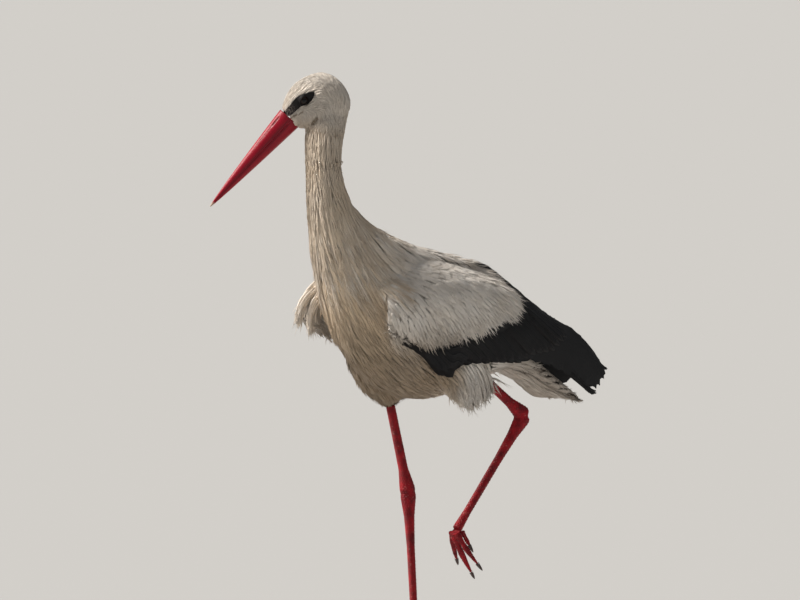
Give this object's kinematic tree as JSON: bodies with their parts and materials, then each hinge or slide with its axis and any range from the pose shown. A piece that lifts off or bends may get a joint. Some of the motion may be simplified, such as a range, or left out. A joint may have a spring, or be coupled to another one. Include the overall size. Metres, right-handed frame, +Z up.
{
  "type": "white stork",
  "caption": "Life-size white stork in mid stride on one leg, head turned and bill pointing down, white plumage with black flight feathers",
  "frame": {"origin": "on the floor, in the middle of the bird's bounding box seen from above", "axes": "+Z up, the bird faces -Y, its left side is +X"},
  "size_m": [0.2084, 0.6318, 0.8112],
  "materials": {
    "plumage": "soft off-white feathers, creamy on neck and breast",
    "flight": "black flight feathers with a faint gloss",
    "bill": "satin red horn",
    "leg": "red scaly skin",
    "claw": "dark brown horn",
    "eye": "wet dark brown"
  },
  "bodies": {
    "root": {"trunk": "plumage", "neck_lower": "plumage", "neck_middle": "plumage", "neck_upper": "plumage", "head": "plumage", "bill_upper": "bill", "bill_lower": "bill", "eye_left": "eye", "eye_right": "eye", "tail": "plumage", "wing_left_coverts": "plumage", "wing_left_flight": "flight", "thigh_left": "plumage", "shank_left": "leg", "tarsus_left": "leg", "toe_left_hind": "leg", "claw_left_hind": "claw", "toe_left_inner": "leg", "claw_left_inner": "claw", "toe_left_middle": "leg", "claw_left_middle": "claw", "toe_left_outer": "leg", "claw_left_outer": "claw", "wing_right_coverts": "plumage", "wing_right_flight": "flight", "thigh_right": "plumage", "shank_right": "leg", "tarsus_right": "leg", "toe_right_hind": "leg", "claw_right_hind": "claw", "toe_right_inner": "leg", "claw_right_inner": "claw", "toe_right_middle": "leg", "claw_right_middle": "claw", "toe_right_outer": "leg", "claw_right_outer": "claw"}
  },
  "joints": []
}
